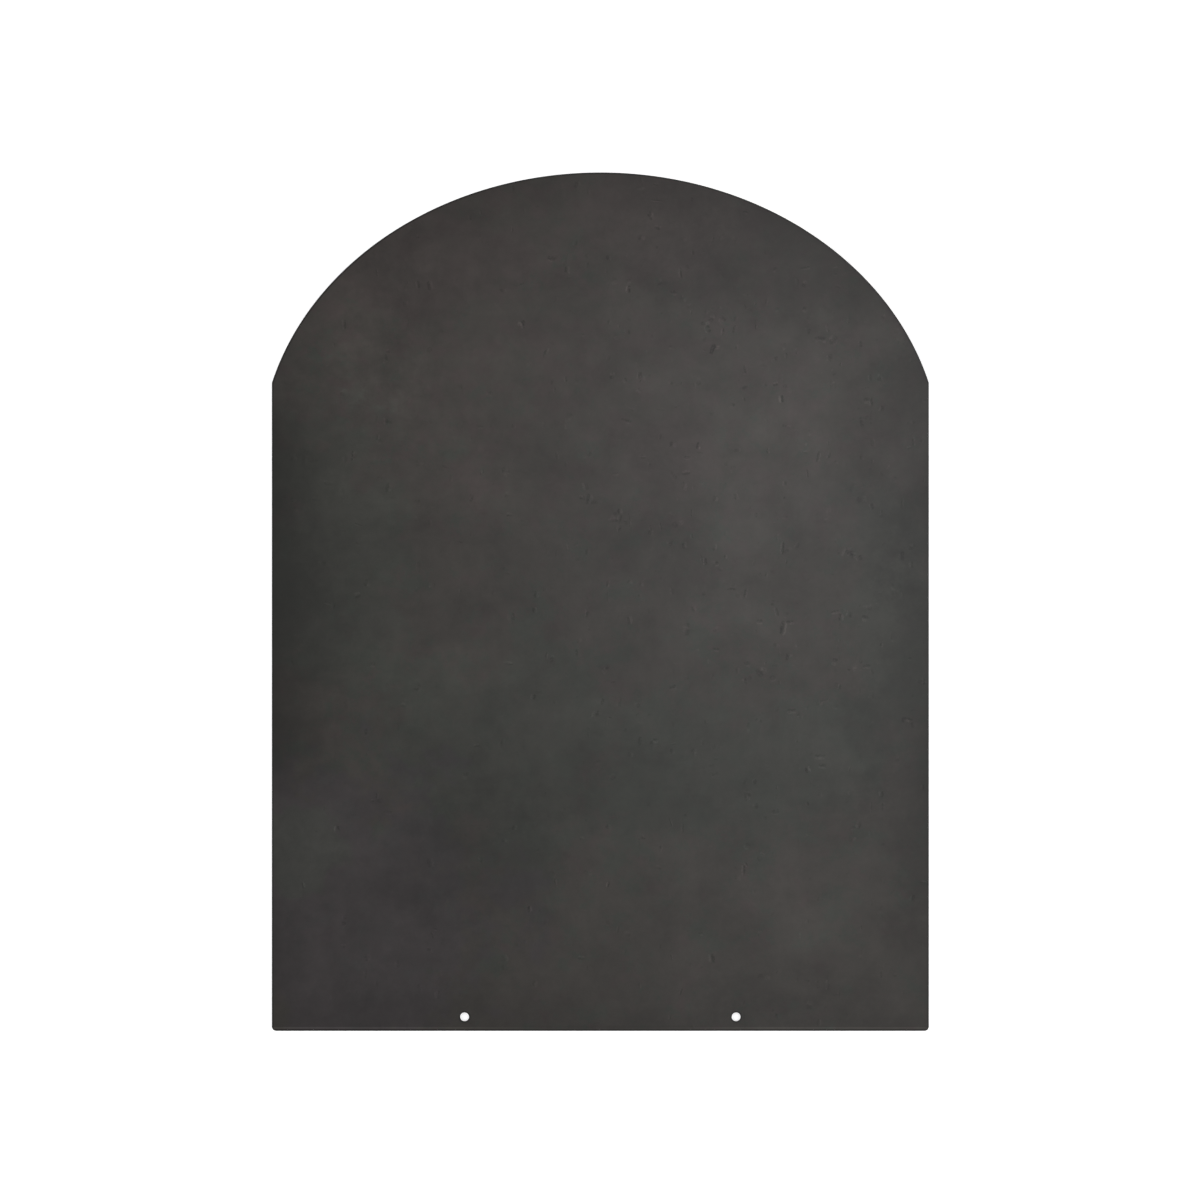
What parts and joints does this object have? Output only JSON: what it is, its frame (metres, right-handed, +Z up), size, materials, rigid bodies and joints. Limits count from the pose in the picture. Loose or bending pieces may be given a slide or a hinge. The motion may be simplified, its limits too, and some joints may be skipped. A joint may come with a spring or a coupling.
{
  "type": "stove floor protector",
  "caption": "Flat steel floor plate that lies under a wood stove, with a straight rear edge, an elliptical arched front, fixing holes along the rear and rubber pads underneath.",
  "frame": {"origin": "on the floor, under the middle of the sheet's length and width", "axes": "+X to the right, +Y from the straight rear edge to the crown of the arched front edge, +Z up"},
  "size_m": [0.75, 0.9799, 0.0035],
  "materials": {
    "dark_steel": "satin",
    "pad_rubber": "matte"
  },
  "bodies": {
    "root": {"floor_sheet": "dark_steel", "pad_rear_left": "pad_rubber", "pad_rear_middle": "pad_rubber", "pad_rear_right": "pad_rubber", "pad_side_left": "pad_rubber", "pad_side_right": "pad_rubber", "pad_centre": "pad_rubber", "pad_shoulder_left": "pad_rubber", "pad_haunch_left": "pad_rubber", "pad_crown": "pad_rubber", "pad_haunch_right": "pad_rubber", "pad_shoulder_right": "pad_rubber"}
  },
  "joints": []
}
